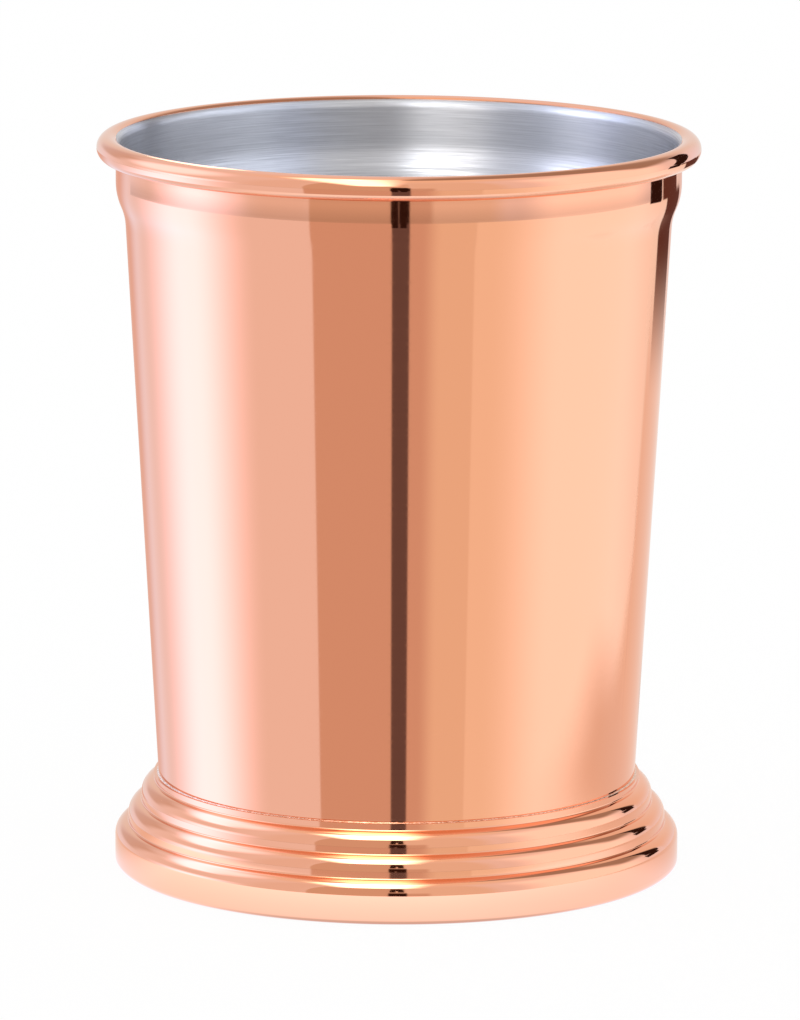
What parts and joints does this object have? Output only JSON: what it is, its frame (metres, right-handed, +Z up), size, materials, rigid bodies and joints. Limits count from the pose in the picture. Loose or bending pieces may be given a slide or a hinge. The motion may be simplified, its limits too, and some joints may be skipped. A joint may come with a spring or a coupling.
{
  "type": "julep cup",
  "caption": "Tapered metal drinking cup with a rolled rim, a stepped collar and a reeded foot ring, copper outside and brushed steel inside.",
  "frame": {"origin": "on the table under the cup's axis, at the middle of the foot ring's hem", "axes": "+Z up along the cup's axis to the rim; the cup is the same all round, and -Y is the side that faces the picture's camera"},
  "size_m": [0.09, 0.09, 0.1107],
  "materials": {
    "brushed_steel": "stainless steel, brushed round the inside",
    "polished_copper": "copper plate, mirror polished",
    "soft_solder": "tin solder, dull, stained with copper"
  },
  "bodies": {
    "root": {"cup_shell": "brushed_steel", "copper_plating": "polished_copper", "foot_ring": "polished_copper", "lip_solder": "soft_solder"}
  },
  "joints": []
}
